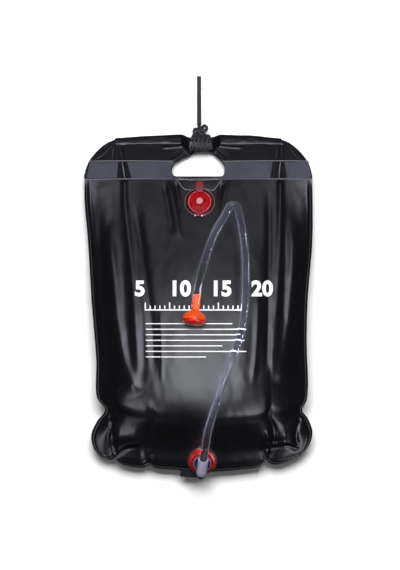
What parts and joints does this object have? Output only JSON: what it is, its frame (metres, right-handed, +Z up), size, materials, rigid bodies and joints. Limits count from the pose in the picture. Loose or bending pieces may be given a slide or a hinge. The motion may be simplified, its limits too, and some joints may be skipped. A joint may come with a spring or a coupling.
{
  "type": "camp shower bag",
  "caption": "Filled soft water bag on its back, with a hand slot and rope at the top, a hinged filler cap, and a swivelling outlet, clear hose and pull-open shower head.",
  "frame": {"origin": "on the floor under the middle of the bag with its fittings, hose and rope left out", "axes": "+Z up out of the belly, +Y towards the end that hangs from the rope, +X to the right as seen from above"},
  "size_m": [0.3992, 0.7002, 0.1485],
  "materials": {
    "bag_vinyl": "black flexible vinyl sheet with a satin sheen",
    "header_vinyl": "black flexible vinyl, doubled and welded",
    "band_vinyl": "purplish grey satin weld band",
    "filler_red": "glossy soft red vinyl moulding",
    "outlet_red": "glossy red plastic",
    "patch_vinyl": "dark clear weld disc",
    "collar_grey": "light grey plastic",
    "fitting_black": "black plastic",
    "head_orange": "glossy orange plastic",
    "rose_red": "glossy deep red plastic",
    "seal_rubber": "black rubber",
    "hose_clear": "clear flexible vinyl hose",
    "rope_black": "black braided polypropylene"
  },
  "bodies": {
    "bag": {"front_panel": "bag_vinyl", "back_panel": "bag_vinyl", "header_panel": "header_vinyl", "grip_band": "band_vinyl", "top_hem": "header_vinyl", "bottom_tab": "header_vinyl", "filler_neck": "filler_red", "cap_hinge_pin": "filler_red", "outlet_patch": "patch_vinyl", "outlet_flange": "outlet_red", "gland_ring": "collar_grey", "head_body": "head_orange", "hose": "hose_clear", "rope_wraps": "rope_black", "rope_knot": "rope_black", "rope_line": "rope_black"},
    "cap": {"filler_cap": "filler_red"},
    "elbow": {"outlet_elbow": "collar_grey", "hose_barb": "fitting_black", "elbow_end_plug": "fitting_black"},
    "rose": {"spray_rose": "rose_red", "valve_plunger": "rose_red", "plunger_seal": "seal_rubber"}
  },
  "joints": [
    {"name": "cap_hinge", "type": "hinge", "parent": "bag", "child": "cap", "pos_m": [0.00246, 0.15961, 0.05737], "axis": [1, 0, 0], "range_deg": [0, 140]},
    {"name": "outlet_swivel", "type": "hinge", "parent": "bag", "child": "elbow", "pos_m": [0.007, -0.26836, 0.04742], "axis": [0, -0.454, 0.891], "range_deg": [-25, 25], "deforming": ["hose"]},
    {"name": "head_valve", "type": "slide", "parent": "bag", "child": "rose", "axis": [-0.1035, -0.9848, 0.1392], "range_m": [0, 0.004]}
  ]
}
